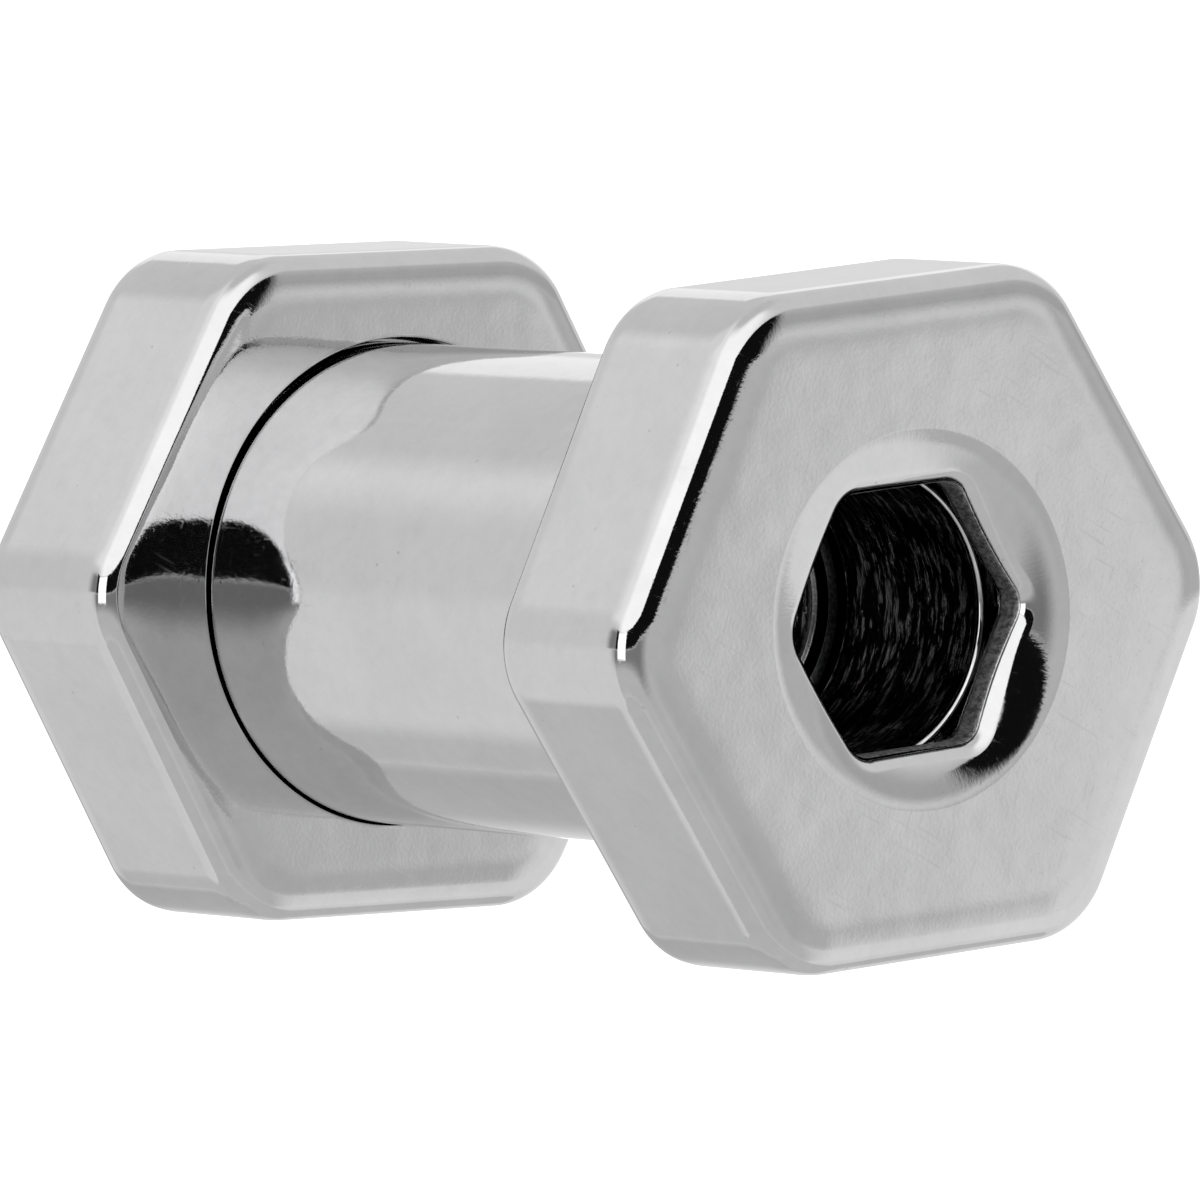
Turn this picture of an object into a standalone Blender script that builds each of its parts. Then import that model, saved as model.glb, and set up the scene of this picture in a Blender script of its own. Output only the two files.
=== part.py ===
"""Screw-fit ear tunnel: a hollow steel barrel between two thick hexagonal plates.

The near plate and the barrel are one piece. The far plate is a cap whose hollow stem screws into the barrel,
and the barrel's free end sits in a shallow round recess in the cap. The tunnel's axis runs along X, with the
head at +X. The origin is on the surface that the tunnel lies on, under the middle of the barrel.
"""

import math

import bmesh
import bpy
from mathutils import Matrix

MM = 0.001

# Barrel and plates
BARREL_RADIUS = 4.0 * MM
WEARABLE_LENGTH = 10.14 * MM  # between the two plates
PLATE_THICKNESS = 3.45 * MM
HALF_FLATS = 5.53 * MM  # half the distance across a plate's flats
CORNER_RADIUS = 1.65 * MM  # a plate's six corners
RIM_FILLET = 0.67 * MM  # round both faces of a plate
HEAD_ROLL = math.radians(3.87)  # how far the two plates are out of line with each other

# Dish and hexagonal hole in a plate's outer face
DISH_RADIUS = 3.3 * MM  # where the dish leaves the flat face
DISH_RIM_CURVE = 0.8 * MM  # radius of the soft rim
DISH_SLOPE = math.radians(18)
HEX_HALF_FLATS = 2.2 * MM
HEX_CORNER_RADIUS = 0.6 * MM
HEX_LIP_RADIUS = 0.24 * MM  # the rounded edge between the dish and the hexagonal hole
HEX_LIP_DEPTH = 0.46 * MM  # behind the face, where the hexagonal wall begins
HEX_LAND_END = 0.96 * MM  # behind the face, where that wall ends

# Round spaces inside, measured back from the head's face
GROOVE_RADIUS = 2.7 * MM
GROOVE_END = 1.38 * MM
BORE_RADIUS = 2.32 * MM
BORE_END = 4.75 * MM
THREAD_POCKET_RADIUS = 2.75 * MM

# Cap
STEM_RADIUS = 2.6 * MM  # over the thread, which is left out here
STEM_BORE_RADIUS = 1.88 * MM
STEM_END_GAP = 0.24 * MM  # from the stem's end to the pocket's end
STEM_CHAMFER = 0.25 * MM
RECESS_RADIUS = 4.10 * MM
RECESS_DEPTH = 0.55 * MM
RECESS_OFFSET = 0.05 * MM  # the barrel sits this much low in the recess
BARREL_END_GAP = 0.05 * MM
BARREL_END_CHAMFER = 0.12 * MM

# Fineness
ROUND_STEPS = 72
CORNER_STEPS = 6
FILLET_STEPS = 5
HEX_CORNER_STEPS = 3
RIM_STEPS = 4
LIP_STEPS = 4
LIP_TURN = math.radians(80)  # how far round the flare goes before it runs straight out
SHARP_ANGLE = math.radians(35)
PAST = 0.5 * MM  # how far a cutter runs past what it cuts
GROOVE_OVERLAP = 0.1 * MM  # how far the hexagonal cutter runs into the round space behind it

HALF_LENGTH = WEARABLE_LENGTH / 2
FACE_X = HALF_LENGTH + PLATE_THICKNESS
CORNER_TURN = math.radians(30)  # from a flat's middle to a corner


def resting_height():
    """The axis's height over the surface: the rolled head stands on the round of its lowest corner."""
    corner_centre = (HALF_FLATS - CORNER_RADIUS) / math.cos(CORNER_TURN)
    return corner_centre * math.cos(CORNER_TURN - HEAD_ROLL) + CORNER_RADIUS


def clear_scene():
    for obj in list(bpy.data.objects):
        bpy.data.objects.remove(obj, do_unlink=True)


def new_collection(name):
    collection = bpy.data.collections.new(name)
    bpy.context.scene.collection.children.link(collection)
    return collection


def steel(name, colour, roughness):
    material = bpy.data.materials.new(name)
    material.use_nodes = True
    shader = material.node_tree.nodes["Principled BSDF"]
    shader.inputs["Base Color"].default_value = (*colour, 1.0)
    shader.inputs["Metallic"].default_value = 1.0
    shader.inputs["Roughness"].default_value = roughness
    return material


def object_from(bm, name, collection, axis_height):
    """An object whose origin is on the tunnel's axis."""
    bmesh.ops.recalc_face_normals(bm, faces=bm.faces)
    mesh = bpy.data.meshes.new(name)
    bm.to_mesh(mesh)
    bm.free()
    obj = bpy.data.objects.new(name, mesh)
    obj.location.z = axis_height
    collection.objects.link(obj)
    return obj


def as_helper(obj):
    obj.hide_render = True
    obj.display_type = "WIRE"
    return obj


def boolean(obj, other, operation):
    modifier = obj.modifiers.new(f"{operation.lower()} {other.name}", "BOOLEAN")
    modifier.object = other
    modifier.operation = operation
    modifier.solver = "EXACT"


def hex_bar(half_flats, corner_radius, corner_steps, low_x, high_x):
    """A hexagonal bar along X with rounded corners and its flats at the top and bottom."""
    bm = bmesh.new()
    corners = half_flats / math.cos(CORNER_TURN)
    bmesh.ops.create_cone(
        bm, cap_ends=True, segments=6, radius1=corners, radius2=corners, depth=high_x - low_x
    )
    bmesh.ops.rotate(bm, verts=bm.verts, matrix=Matrix.Rotation(math.pi / 2, 3, "Y"))
    bmesh.ops.translate(bm, verts=bm.verts, vec=((low_x + high_x) / 2, 0, 0))
    middle = (low_x + high_x) / 2
    upright = [e for e in bm.edges if (e.verts[0].co.x - middle) * (e.verts[1].co.x - middle) < 0]
    bmesh.ops.bevel(
        bm,
        geom=upright,
        offset=corner_radius * math.tan(CORNER_TURN),
        segments=corner_steps,
        profile=0.5,
        affect="EDGES",
    )
    return bm


def round_rim(bm, x):
    """Rounds the edge of a bar's end face at x."""
    rim = [e for e in bm.edges if all(abs(v.co.x - x) < 0.01 * MM for v in e.verts)]
    bmesh.ops.bevel(bm, geom=rim, offset=RIM_FILLET, segments=FILLET_STEPS, profile=0.5, affect="EDGES")


def plate(name, collection, axis_height, side, roll):
    """A thick hexagonal plate, at +X or -X by its side, with its inner face towards the barrel."""
    inner_x = side * HALF_LENGTH
    outer_x = side * FACE_X
    bm = hex_bar(HALF_FLATS, CORNER_RADIUS, CORNER_STEPS, min(inner_x, outer_x), max(inner_x, outer_x))
    round_rim(bm, outer_x)
    round_rim(bm, inner_x)
    bmesh.ops.rotate(bm, verts=bm.verts, matrix=Matrix.Rotation(roll, 3, "X"))
    return object_from(bm, name, collection, axis_height)


def turned(name, collection, axis_height, outline):
    """A solid of revolution about X from (x, radius) points that start and end on the axis."""
    if outline[0][0] < outline[-1][0]:
        outline = outline[::-1]
    bm = bmesh.new()
    points = [bm.verts.new((radius, 0, x)) for x, radius in outline]
    for first, second in zip(points, points[1:]):
        bm.edges.new((first, second))
    mesh = bpy.data.meshes.new(name)
    bm.to_mesh(mesh)
    bm.free()
    obj = bpy.data.objects.new(name, mesh)
    obj.rotation_euler.y = math.pi / 2
    obj.location.z = axis_height
    collection.objects.link(obj)
    screw = obj.modifiers.new("turn", "SCREW")
    screw.axis = "Z"
    screw.steps = ROUND_STEPS
    screw.render_steps = ROUND_STEPS
    screw.use_merge_vertices = True
    screw.merge_threshold = 0.000001
    return obj


def behind_face(side, depth):
    """The x that lies this far behind a plate's outer face."""
    return side * (FACE_X - depth)


def dish_cutter(name, collection, axis_height, side):
    """The shallow round dish: a soft rim that runs into a cone, which ends inside the hexagonal hole."""
    outline = [(behind_face(side, -PAST), 0), (behind_face(side, -PAST), DISH_RADIUS)]
    for step in range(RIM_STEPS + 1):
        turn = DISH_SLOPE * step / RIM_STEPS
        depth = DISH_RIM_CURVE * (1 - math.cos(turn))
        outline.append((behind_face(side, depth), DISH_RADIUS - DISH_RIM_CURVE * math.sin(turn)))
    foot_radius = HEX_HALF_FLATS / 2
    foot_depth = depth + (outline[-1][1] - foot_radius) * math.tan(DISH_SLOPE)
    outline.append((behind_face(side, foot_depth), foot_radius))
    outline.append((behind_face(side, foot_depth), 0))
    return as_helper(turned(name, collection, axis_height, outline))


def extruded(bm, face, distance, scale):
    """The new end face after extruding this one along X and scaling it about the axis."""
    end = bmesh.ops.extrude_discrete_faces(bm, faces=[face])["faces"][0]
    bmesh.ops.scale(bm, verts=end.verts, vec=(1, scale, scale))
    bmesh.ops.translate(bm, verts=end.verts, vec=(distance, 0, 0))
    return end


def hex_cutter(name, collection, axis_height, side, roll):
    """The hexagonal hole, whose mouth flares in a quarter round so that its edge is soft."""
    inner_x = behind_face(side, HEX_LAND_END + GROOVE_OVERLAP)
    lip_x = behind_face(side, HEX_LIP_DEPTH)
    bm = hex_bar(
        HEX_HALF_FLATS, HEX_CORNER_RADIUS, HEX_CORNER_STEPS, min(inner_x, lip_x), max(inner_x, lip_x)
    )
    end = next(f for f in bm.faces if all(abs(v.co.x - lip_x) < 0.01 * MM for v in f.verts))
    grown = 0
    travelled = 0
    for step in range(1, LIP_STEPS + 1):
        turn = LIP_TURN * step / LIP_STEPS
        growth = HEX_LIP_RADIUS * (1 - math.cos(turn))
        travel = HEX_LIP_RADIUS * math.sin(turn)
        scale = (HEX_HALF_FLATS + growth) / (HEX_HALF_FLATS + grown)
        end = extruded(bm, end, side * (travel - travelled), scale)
        grown = growth
        travelled = travel
    extruded(bm, end, side * (HEX_LIP_DEPTH + PAST - travelled), 1)
    bmesh.ops.rotate(bm, verts=bm.verts, matrix=Matrix.Rotation(roll, 3, "X"))
    return as_helper(object_from(bm, name, collection, axis_height))


def head_bore_cutter(collection, axis_height):
    """Inside the head and barrel: relief groove, bore, then the pocket for the cap's stem."""
    groove_start = behind_face(1, HEX_LAND_END)
    bore_start = behind_face(1, GROOVE_END)
    pocket_start = behind_face(1, BORE_END)
    mouth = -HALF_LENGTH - RECESS_DEPTH - PAST
    outline = [
        (groove_start, 0),
        (groove_start, GROOVE_RADIUS),
        (bore_start, GROOVE_RADIUS),
        (bore_start, BORE_RADIUS),
        (pocket_start, BORE_RADIUS),
        (pocket_start, THREAD_POCKET_RADIUS),
        (mouth, THREAD_POCKET_RADIUS),
        (mouth, 0),
    ]
    return as_helper(turned("cut_head_bore", collection, axis_height, outline))


def barrel(collection, axis_height):
    """The barrel as a solid bar that runs into the head's plate, with a small chamfer at its free end."""
    end = -HALF_LENGTH - RECESS_DEPTH + BARREL_END_GAP
    outline = [
        (HALF_LENGTH + PAST, 0),
        (HALF_LENGTH + PAST, BARREL_RADIUS),
        (end + BARREL_END_CHAMFER, BARREL_RADIUS),
        (end, BARREL_RADIUS - BARREL_END_CHAMFER),
        (end, 0),
    ]
    return as_helper(turned("add_barrel", collection, axis_height, outline))


def stem(collection, axis_height):
    """The cap's stem as a solid bar from inside the plate to just short of the pocket's end."""
    tip = behind_face(1, BORE_END) - STEM_END_GAP
    outline = [
        (tip, 0),
        (tip, STEM_RADIUS - STEM_CHAMFER),
        (tip - STEM_CHAMFER, STEM_RADIUS),
        (-HALF_LENGTH - RECESS_DEPTH - PAST, STEM_RADIUS),
        (-HALF_LENGTH - RECESS_DEPTH - PAST, 0),
    ]
    return as_helper(turned("add_stem", collection, axis_height, outline))


def stem_bore_cutter(collection, axis_height):
    start = behind_face(-1, HEX_LAND_END)
    outline = [
        (FACE_X, 0),
        (FACE_X, STEM_BORE_RADIUS),
        (start, STEM_BORE_RADIUS),
        (start, 0),
    ]
    return as_helper(turned("cut_stem_bore", collection, axis_height, outline))


def recess_cutter(collection, axis_height):
    """The round recess for the barrel's end, set a little high of the axis by the thread's play."""
    floor = -HALF_LENGTH - RECESS_DEPTH
    outline = [
        (-HALF_LENGTH + PAST, 0),
        (-HALF_LENGTH + PAST, RECESS_RADIUS),
        (floor, RECESS_RADIUS),
        (floor, 0),
    ]
    return as_helper(turned("cut_recess", collection, axis_height + RECESS_OFFSET, outline))


def head_barrel(parts, cutters, axis_height):
    obj = plate("head_barrel", parts, axis_height, 1, HEAD_ROLL)
    boolean(obj, barrel(cutters, axis_height), "UNION")
    boolean(obj, dish_cutter("cut_head_dish", cutters, axis_height, 1), "DIFFERENCE")
    boolean(obj, hex_cutter("cut_head_hex", cutters, axis_height, 1, HEAD_ROLL), "DIFFERENCE")
    boolean(obj, head_bore_cutter(cutters, axis_height), "DIFFERENCE")
    return obj


def screw_cap(parts, cutters, axis_height):
    obj = plate("screw_cap", parts, axis_height, -1, 0)
    boolean(obj, recess_cutter(cutters, axis_height), "DIFFERENCE")
    boolean(obj, stem(cutters, axis_height), "UNION")
    boolean(obj, dish_cutter("cut_cap_dish", cutters, axis_height, -1), "DIFFERENCE")
    boolean(obj, hex_cutter("cut_cap_hex", cutters, axis_height, -1, 0), "DIFFERENCE")
    boolean(obj, stem_bore_cutter(cutters, axis_height), "DIFFERENCE")
    return obj


def finish(obj, material):
    """One material all over, and smooth shading that keeps the corners of the cuts sharp."""
    obj.data.materials.append(material)
    obj.data.shade_smooth()
    obj.data.set_sharp_from_angle(angle=SHARP_ANGLE)


def main():
    clear_scene()
    parts = new_collection("ear_tunnel")
    cutters = new_collection("cutters")
    cutters.hide_render = True
    axis_height = resting_height()
    finish(head_barrel(parts, cutters, axis_height), steel("polished steel", (0.72, 0.72, 0.73), 0.12))
    finish(screw_cap(parts, cutters, axis_height), steel("polished steel cap", (0.70, 0.70, 0.71), 0.14))


main()
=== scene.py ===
"""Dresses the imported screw-fit ear tunnel in polished steel and puts a plain studio round it.

The head and the cap are skins of rings that follow the solids: every edge has its small break, the dish
runs into the hexagonal hole over a rounded lip, and the stem and the barrel carry their thread.
"""

import math

import bmesh
import bpy
import numpy as np
from bpy.props import FloatProperty, FloatVectorProperty, PointerProperty
from mathutils import Matrix, Vector


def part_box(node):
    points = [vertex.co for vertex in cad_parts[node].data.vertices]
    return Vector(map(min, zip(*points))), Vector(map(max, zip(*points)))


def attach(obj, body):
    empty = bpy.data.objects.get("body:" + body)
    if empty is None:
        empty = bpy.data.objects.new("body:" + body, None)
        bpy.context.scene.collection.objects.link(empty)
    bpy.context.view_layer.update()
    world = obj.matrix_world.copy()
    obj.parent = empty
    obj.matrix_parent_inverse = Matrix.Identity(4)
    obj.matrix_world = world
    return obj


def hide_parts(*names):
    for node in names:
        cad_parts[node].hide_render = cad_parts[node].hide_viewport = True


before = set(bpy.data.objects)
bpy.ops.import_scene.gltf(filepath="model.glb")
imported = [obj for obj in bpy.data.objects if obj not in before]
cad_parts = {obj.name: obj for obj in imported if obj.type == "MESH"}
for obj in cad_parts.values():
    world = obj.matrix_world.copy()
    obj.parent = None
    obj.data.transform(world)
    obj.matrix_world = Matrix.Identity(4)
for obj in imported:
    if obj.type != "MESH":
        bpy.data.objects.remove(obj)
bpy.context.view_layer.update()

bl_info = {
    "name": "Ear Tunnel",
    "version": (1, 0, 0),
    "blender": (4, 5, 0),
    "location": "View3D > Sidebar > Ear Tunnel",
    "description": "Builds a screw-fit ear tunnel of polished steel, with its studio",
    "category": "Add Mesh",
}

CAP_LOW, CAP_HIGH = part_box("screw_cap")
HEAD_LOW, HEAD_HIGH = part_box("head_barrel")
AXIS_HEIGHT = (CAP_LOW.z + CAP_HIGH.z) / 2

MM = 0.001
COLUMNS_PER_SIDE = 32  # half of them go round the corner, half along the flat
SIDES = 6
COLUMNS = SIDES * COLUMNS_PER_SIDE
SIDE_TURN = 2 * math.pi / SIDES
CORNER_SHARE = COLUMNS_PER_SIDE // 2

# The turn of a plate's edge at the ends of its lead-in, rounding and pillow, and the rings that each takes
EDGE_TURNS = (90, 83, 13, 6)
EDGE_STEPS = (4, 15, 5)
CROWN_STEPS = 12
DISH_STEPS = 10
LIP_STEPS = 16
LIP_POLISHED = 0.72  # the polished share of the lip's turn, before the broached wall
WALL_SHARES = (0.08, 0.4, 0.75)  # where the rings of the hexagonal wall stand along it
LIP_ROUNDS = 12  # rounds of the search for the lip's upper end
THREAD_STEPS = 12  # rings to a turn
THREAD_FLATTENING = 1.25
THREAD_SOFTENING = 0.04
FINE_STEP = math.radians(5)  # the most that a large rounding turns from ring to ring
COARSE_STEP = math.radians(18)  # the same for a small one
SMALL_ROUNDING = 0.2 * MM
SLANTED = 0.12  # the least part of a normal along each axis that makes it a slanted one

# Breaks and fillets
BARREL_END_BREAK = 0.1 * MM
BARREL_ROOT_FILLET = 0.08 * MM
BORE_BREAK = 0.1 * MM
FINE_BREAK = 0.05 * MM
FINER_BREAK = 0.04 * MM
FINEST_BREAK = 0.03 * MM
RECESS_BREAK = 0.035 * MM
MOUTH_BREAK = 0.02 * MM
STEM_ROOT_FILLET = 0.1 * MM

# Short runs from the end of one form to the first ring of the next
ROOT_RUN = 0.15 * MM
RIM_RUN = 0.02 * MM
WALL_RUN = 0.06 * MM
LAND_RUN = 0.08 * MM
CAP_LAND_RUN = 0.12 * MM
BORE_BREAK_RUN = 0.13 * MM
BORE_RUN = 0.16 * MM
SHORT_RUN = 0.05 * MM
STEM_ROOT_RUN = 0.4 * MM
RECESS_FLOOR_RUN = 0.3 * MM
FLAT_RIM = 0.2 * MM  # the flat ring round the dish

# The thread's ends, the chamfer at the barrel's mouth, and the stem's tip
POCKET_THREAD_START = 0.5 * MM
POCKET_THREAD_END = 6.5 * MM
STEM_THREAD_START = 0.35 * MM
STEM_THREAD_END = 1.2 * MM
MOUTH_DEPTH = 0.25 * MM
MOUTH_WIDTH = 0.2 * MM
TIP_CHAMFER_DEPTH = 0.2 * MM
TIP_CHAMFER_WIDTH = 0.16 * MM
SINK_START = 0.25 * MM
SINK_LEAD = 0.2 * MM
SINK_DEPTH = 0.1 * MM
SINK_WIDTH = 0.27 * MM
STEM_ROOT_SHARE = 0.9  # how much of the thread's depth lies inside the stem's radius

# How each stretch of the surface was finished, as kept in the mesh: turned, broached, edge, dished. The first
# also paints shade into the colour, nearly black where it is whole, with painted highlights along the tool
# marks
POLISHED = (0.0, 0.0, 0.0, 0.0)
ROUNDED = (0.0, 0.0, 1.0, 0.0)
DISHED = (0.0, 0.0, 0.0, 1.0)
LIPPED = (0.0, 0.0, 1.0, 0.4)
# The bore's lathe finish: its colour is painted nearly black as shade, with painted highlights along the tool
# marks
TURNED_WITH_PAINTED_SHADE = (1.0, 0.0, 0.0, 0.0)
BRIGHT_BREAK = (0.15, 0.0, 1.0, 0.0)
FACED = (0.0, 0.6, 1.0, 0.0)  # the stem's end
COUNTERSUNK = (0.1, 0.4, 1.0, 0.0)
CUT_WITH_SOME_PAINTED_SHADE = (0.35, 0.0, 0.0, 0.0)  # the threads and the recess, their colour darkened by up to about a third with painted shade
BROACHED = (0.0, 1.0, 0.0, 0.0)
FINISH_NAMES = ("turned_with_painted_shade", "broached", "edge", "dished")


def length(name, description, default, **limits):
    return FloatProperty(
        name=name,
        description=description,
        default=default,
        unit="LENGTH",
        subtype="DISTANCE",
        precision=5,
        **limits,
    )


def size(name, description, default):
    return length(name, description, default, min=0.0)


def rotation(name, description, degrees):
    return FloatProperty(
        name=name,
        description=description,
        default=math.radians(degrees),
        subtype="ANGLE",
        unit="ROTATION",
    )


def strength(name, description, default, **settings):
    return FloatProperty(name=name, description=description, default=default, min=0.0, **settings)


def fraction(name, description, default):
    return strength(name, description, default, max=1.0, subtype="FACTOR")


def rgb(name, description, default):
    return FloatVectorProperty(name=name, description=description, default=default, subtype="COLOR", size=3)


class TunnelSizes(bpy.types.PropertyGroup):
    """The dressed tunnel's sizes, which keep close to its solids."""

    wearable: size("Wearable length", "Between the two plates", 10.14 * MM)
    barrel_radius: size("Barrel radius", "Outside radius of the barrel", 4.0 * MM)
    half_flats: size("Half flats", "Half the distance across a plate's flats", 5.53 * MM)
    corner_radius: size("Corner radius", "Rounding of a plate's six corners", 1.65 * MM)
    edge_lead: size("Edge lead-in", "Soft rounding that leads a side into its edge", 2.0 * MM)
    edge_rounding: size("Edge rounding", "Rounding where a plate's sides begin", 0.336 * MM)
    edge_pillow: size("Edge pillow", "Softer rounding that leads a face into its edge", 1.5 * MM)
    crown_end: size("Crown end", "How far in from its edge a face begins to drop", 1.35 * MM)
    inner_crown_end: size("Inner crown end", "The same for a plate's inner face", 1.3 * MM)
    head_roll: rotation("Head roll", "How far the head's flats are out of line with the cap's", 3.87)
    dish_radius: size("Dish radius", "Where the dish leaves the flat face", 3.10 * MM)
    dish_rim: rotation("Dish rim", "Slope with which the dish leaves the face", 2.2)
    dish_curve: size("Dish curve", "Radius of the dish's funnel, seen in section", 2.65 * MM)
    hex_half_flats: size("Hole half flats", "Half the distance across the hexagonal hole's flats", 2.12 * MM)
    hex_corner: size("Hole corner radius", "Rounding of the hexagonal hole's corners", 0.5 * MM)
    hex_shift: length("Hole shift", "How far along Y the head's hole was broached off the axis", -0.11 * MM)
    hex_lip: size("Hole lip", "Rounding between the dish and the hole", 0.34 * MM)
    land_end: size("Land end", "How far behind the face the hexagonal wall ends", 0.80 * MM)
    groove_radius: size("Groove radius", "Radius of the relief groove behind the hexagonal wall", 2.7 * MM)
    groove_end: size("Groove end", "How far behind the face the relief groove ends", 1.32 * MM)
    bore_radius: size("Bore radius", "Radius of the head's bore", 2.32 * MM)
    bore_end: size("Bore end", "How far behind the face the thread's pocket begins", 4.75 * MM)
    pocket_radius: size("Pocket radius", "Radius of the pocket for the stem", 2.75 * MM)
    stem_radius: size("Stem radius", "Radius over the stem's thread", 2.65 * MM)
    stem_bore: size("Stem bore radius", "Radius of the hole through the stem", 1.88 * MM)
    recess_radius: size("Recess radius", "Round recess in the cap for the barrel's end", 4.055 * MM)
    recess_depth: size("Recess depth", "Depth of that recess", 0.55 * MM)
    recess_rise: size("Recess rise", "How far the recess sits above the axis, for the thread's play", 0.03 * MM)
    thread_pitch: size("Thread pitch", "From one turn of the thread to the next", 0.5 * MM)
    thread_depth: size("Thread depth", "How deep the thread is cut", 0.17 * MM)


class SteelFinish(bpy.types.PropertyGroup):
    """The steel's colour and finish."""

    head_colour: rgb("Head colour", "Colour of the head's steel", (0.70, 0.70, 0.705))
    cap_colour: rgb("Cap colour", "Colour of the cap's steel", (0.69, 0.69, 0.695))
    polish: fraction("Polish", "Roughness of the polished steel", 0.035)
    turned_with_painted_shade: fraction("Turned", "Roughness where it was turned on the lathe", 0.22)
    broached: fraction("Broached", "Roughness of the hexagonal wall", 0.55)


class StudioLight(bpy.types.PropertyGroup):
    """The studio's light and floor."""

    daylight: strength("Daylight", "Brightness of the light on the floor", 0.5)
    tent: strength("Tent light", "Brightness of the light tent in the steel", 1.0)
    tent_radius: size("Tent radius", "Radius of the ball of light", 3.0)
    floor_colour: rgb("Floor colour", "Colour of the floor", (0.9, 0.9, 0.9))
    floor_glow: strength("Floor glow", "Light that the floor's white table gives", 1.0)
    floor_radius: size("Floor radius", "Radius of the round floor", 1.6)


# ---------------------------------------------------------------------------------------- outlines


def hexagon(half_flats, corner_radius, roll):
    """A rounded hexagon, seen along X, as the core points and the directions that lead out from them."""
    core = (half_flats - corner_radius) / math.cos(SIDE_TURN / 2)
    corners = [
        core * np.array((math.cos(side * SIDE_TURN + roll), math.sin(side * SIDE_TURN + roll)))
        for side in range(SIDES + 1)
    ]
    base = np.empty((COLUMNS, 2))
    out = np.empty((COLUMNS, 2))
    for column in range(COLUMNS):
        side, step = divmod(column, COLUMNS_PER_SIDE)
        turn = side * SIDE_TURN + roll + SIDE_TURN * (min(step / CORNER_SHARE, 1) - 0.5)
        along = max(step / CORNER_SHARE - 1, 0)
        base[column] = corners[side] * (1 - along) + corners[side + 1] * along
        out[column] = (math.cos(turn), math.sin(turn))
    return base, out


def column_angles(roll):
    """The even angles at which a circle's columns stand, the first of them beside a hexagon's corner."""
    return np.arange(COLUMNS) * (2 * math.pi / COLUMNS) - SIDE_TURN / 4 + roll


def circle(roll, rise=0.0):
    """A circle as core points, at the axis or a rise above it, and the directions that lead out of them."""
    angles = column_angles(roll)
    base = np.tile((0.0, rise), (COLUMNS, 1))
    return base, np.stack((np.cos(angles), np.sin(angles)), 1)


def left_of(direction):
    return np.array((-direction[1], direction[0]))


def unit(vector):
    return vector / np.linalg.norm(vector)


def soft_path(*corners):
    """Rows of x, reach and outward normal along straight runs between (x, reach, rounding) corners.

    A corner's rows also carry its own finish, where it has one as its fourth part. The metal is on the
    right-hand side of the path, with x to the right and reach upward.
    """
    points = [np.array(corner[:2]) for corner in corners]
    runs = [unit(after - before) for before, after in zip(points, points[1:])]
    rows = [(*points[0], *left_of(runs[0]))]
    for corner, point, before, after in zip(corners[1:-1], points[1:-1], runs, runs[1:]):
        turn = math.atan2(before[0] * after[1] - before[1] * after[0], before @ after)
        bulge = -math.copysign(corner[2], turn)
        start = point - before * abs(bulge) * math.tan(abs(turn) / 2)
        centre = start - bulge * left_of(before)
        largest = FINE_STEP if corner[2] > SMALL_ROUNDING else COARSE_STEP
        steps = max(3, math.ceil(abs(turn) / largest))
        for step in range(steps + 1):
            angle = turn * step / steps
            normal = np.array(
                (
                    math.cos(angle) * -before[1] - math.sin(angle) * before[0],
                    math.sin(angle) * -before[1] + math.cos(angle) * before[0],
                )
            )
            rows.append((*(centre + bulge * normal), *normal, *corner[3:]))
    rows.append((*points[-1], *left_of(runs[-1]), *corners[-1][3:]))
    return rows


class Skin:
    """Rings of equal columns that are joined in order, the last to the first, into one closed surface."""

    def __init__(self, axis_height, mirrored):
        self.axis_height = axis_height
        self.mirrored = mirrored
        self.places = []
        self.normals = []
        self.finishes = []

    def ring(self, x, across, normal_x, normal_across, finish):
        """One ring: x and normal_x are numbers or arrays, across and normal_across are (y, z) rows."""
        place = np.empty((COLUMNS, 3))
        place[:, 0] = x
        place[:, 1:] = across
        normal = np.empty((COLUMNS, 3))
        normal[:, 0] = normal_x
        normal[:, 1:] = normal_across
        self.places.append(place)
        self.normals.append(normal / np.linalg.norm(normal, axis=1)[:, None])
        self.finishes.append(finish)

    def sweep(self, outline, rows, finish, rounded=None):
        """Rings along a path, where slanted normals take the rounded finish."""
        base, out = outline
        for x, reach, normal_x, normal_reach, *own in rows:
            slanted = rounded and min(abs(normal_x), abs(normal_reach)) > SLANTED
            used = own[0] if own else (rounded if slanted else finish)
            self.ring(x, base + reach * out, normal_x, normal_reach * out, used)

    def mesh(self, name):
        rings = len(self.places)
        places = np.concatenate(self.places)
        normals = np.concatenate(self.normals)
        if self.mirrored:
            places[:, 0] *= -1
            normals[:, 0] *= -1
        places[:, 2] += self.axis_height
        ring, column = np.meshgrid(np.arange(rings), np.arange(COLUMNS), indexing="ij")
        here = ring * COLUMNS + column
        beside = ring * COLUMNS + (column + 1) % COLUMNS
        further = (ring + 1) % rings * COLUMNS
        quads = np.stack((here, beside, further + (column + 1) % COLUMNS, further + column), 2)
        quads = quads.reshape(-1, 4)
        if self.mirrored:
            quads = quads[:, ::-1]
        mesh = bpy.data.meshes.new(name)
        mesh.from_pydata(places.tolist(), [], quads.tolist())
        mesh.shade_smooth()
        for index, label in enumerate(FINISH_NAMES):
            values = np.repeat([finish[index] for finish in self.finishes], COLUMNS)
            mesh.attributes.new(label, "FLOAT", "POINT").data.foreach_set("value", values)
        mesh.normals_split_custom_set_from_vertices(normals.tolist())
        mesh.update()
        return mesh


# ---------------------------------------------------------------------------------- turned details


def thread_wave(phase):
    """The thread's height for a phase in turns, from about 0 at its root to about 1 at its crest."""
    swing = np.cos(2 * math.pi * phase)
    flattened = np.clip(swing * THREAD_FLATTENING, -1, 1)
    return 0.5 + 0.5 * flattened - THREAD_SOFTENING * np.cos(6 * math.pi * phase)


def smooth_step(value):
    value = np.clip(value, 0, 1)
    return value * value * (3 - 2 * value)


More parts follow.
